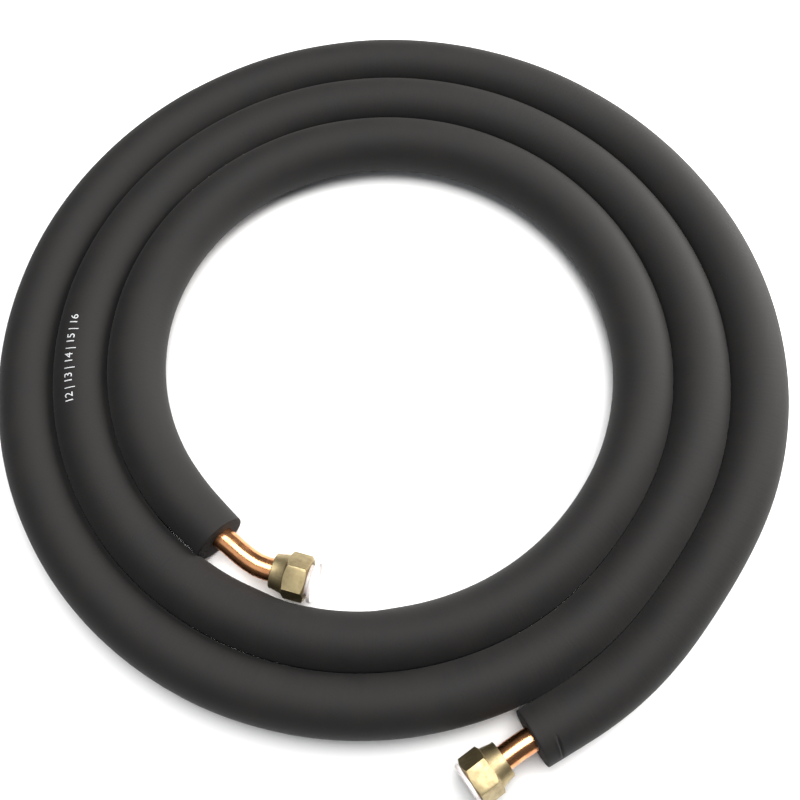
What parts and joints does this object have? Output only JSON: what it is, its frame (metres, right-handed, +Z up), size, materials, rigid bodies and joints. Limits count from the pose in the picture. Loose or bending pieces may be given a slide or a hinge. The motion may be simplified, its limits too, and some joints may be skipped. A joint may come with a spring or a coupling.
{
  "type": "mini split line set coil",
  "caption": "Flat coil of foam-insulated soft copper refrigerant pipe with a brass flare nut and a plastic dust plug on each end.",
  "frame": {"origin": "on the floor, under the middle of the coil's bounding box", "axes": "+Z up through the eye of the flat coil; +X to the right and +Y away from the viewer, with the outer end at -Y"},
  "size_m": [0.4486, 0.4674, 0.0326],
  "materials": {
    "foam": "matte closed-cell foam skin",
    "copper": "bright drawn",
    "brass": "machined, dull",
    "plug_plastic": "translucent moulded"
  },
  "bodies": {
    "line": {"insulation_sleeve": "foam", "copper_pipe": "copper"},
    "inner_nut": {"inner_flare_nut": "brass"},
    "inner_plug": {"inner_dust_plug": "plug_plastic"},
    "outer_nut": {"outer_flare_nut": "brass"},
    "outer_plug": {"outer_dust_plug": "plug_plastic"}
  },
  "joints": [
    {"name": "inner_nut_spin", "type": "hinge", "parent": "line", "child": "inner_nut", "pos_m": [-0.06825, -0.11204, 0.01613], "axis": [0.9442, -0.3293, 0], "continuous": true},
    {"name": "inner_plug_pull", "type": "slide", "parent": "inner_nut", "child": "inner_plug", "axis": [0.9442, -0.3293, 0], "range_m": [0, 0.012]},
    {"name": "outer_nut_spin", "type": "hinge", "parent": "line", "child": "outer_nut", "pos_m": [0.0443, -0.21266, 0.01613], "axis": [-0.8565, -0.5162, 0], "continuous": true},
    {"name": "outer_plug_pull", "type": "slide", "parent": "outer_nut", "child": "outer_plug", "axis": [-0.8565, -0.5162, 0], "range_m": [0, 0.012]}
  ]
}
